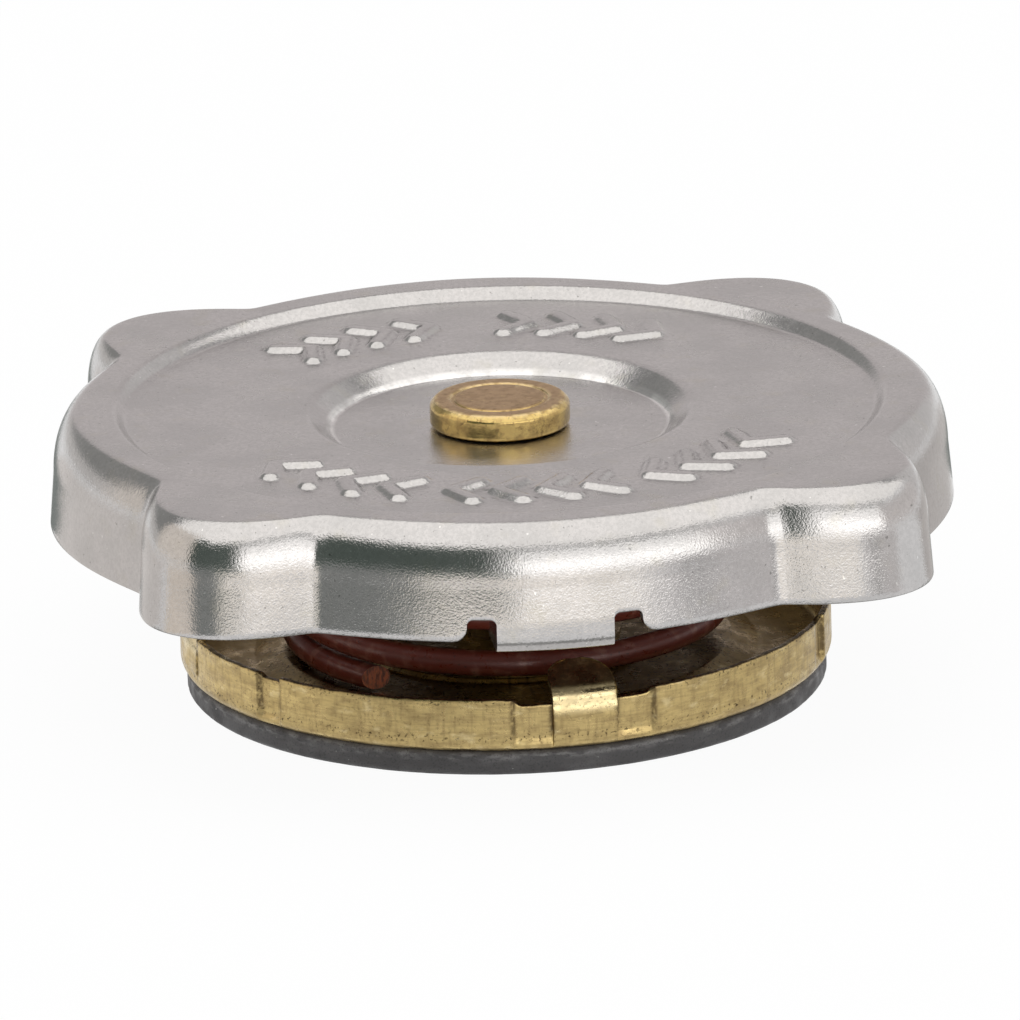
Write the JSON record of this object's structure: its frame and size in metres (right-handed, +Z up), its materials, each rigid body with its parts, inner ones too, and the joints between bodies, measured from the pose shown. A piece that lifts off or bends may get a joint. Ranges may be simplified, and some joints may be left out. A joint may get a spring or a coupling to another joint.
{
  "type": "radiator cap",
  "caption": "Pressed-steel radiator pressure cap with grip lobes, bayonet locking tabs, a coil spring, a brass valve pan and a rubber sealing gasket.",
  "frame": {"origin": "centre of the gasket's sealing face, on the axis of the rivet", "axes": "+Z up along the rivet, from the gasket to the top of the shell; the locking tabs point to -Y and +Y"},
  "size_m": [0.0748, 0.0748, 0.0242],
  "materials": {
    "zinc_steel": "satin zinc plate",
    "rivet_brass": "turned, slightly tarnished",
    "pan_brass": "drawn sheet, streaked patina",
    "spring_steel": "plain",
    "coated_wire": "red-brown coating",
    "gasket_rubber": "matt moulded"
  },
  "bodies": {
    "shell": {"cap_shell": "zinc_steel"},
    "stirrup": {"centre_rivet": "rivet_brass", "rivet_washer": "spring_steel", "neck_diaphragm": "spring_steel", "bell_housing": "pan_brass", "pressure_spring": "coated_wire"},
    "pressure_valve": {"pressure_pan": "pan_brass", "seal_gasket": "gasket_rubber", "gasket_retainer": "pan_brass", "lift_collar": "pan_brass", "vacuum_spring": "spring_steel"},
    "vacuum_valve": {"vacuum_valve": "rivet_brass", "vacuum_seal": "gasket_rubber", "stem_keeper": "spring_steel"}
  },
  "joints": [
    {"name": "inner_swivel", "type": "hinge", "parent": "shell", "child": "stirrup", "pos_m": [0, 0, 0.0212], "axis": [0, 0, 1], "continuous": true},
    {"name": "pressure_lift", "type": "slide", "parent": "stirrup", "child": "pressure_valve", "axis": [0, 0, 1], "range_m": [0, 0.004], "stiffness_N_per_m": 6000, "springref_m": -0.0005, "deforming": ["pressure_spring"]},
    {"name": "vacuum_drop", "type": "slide", "parent": "pressure_valve", "child": "vacuum_valve", "axis": [0, 0, -1], "range_m": [0, 0.0012], "stiffness_N_per_m": 300, "springref_m": -0.0008, "deforming": ["vacuum_spring"]}
  ]
}
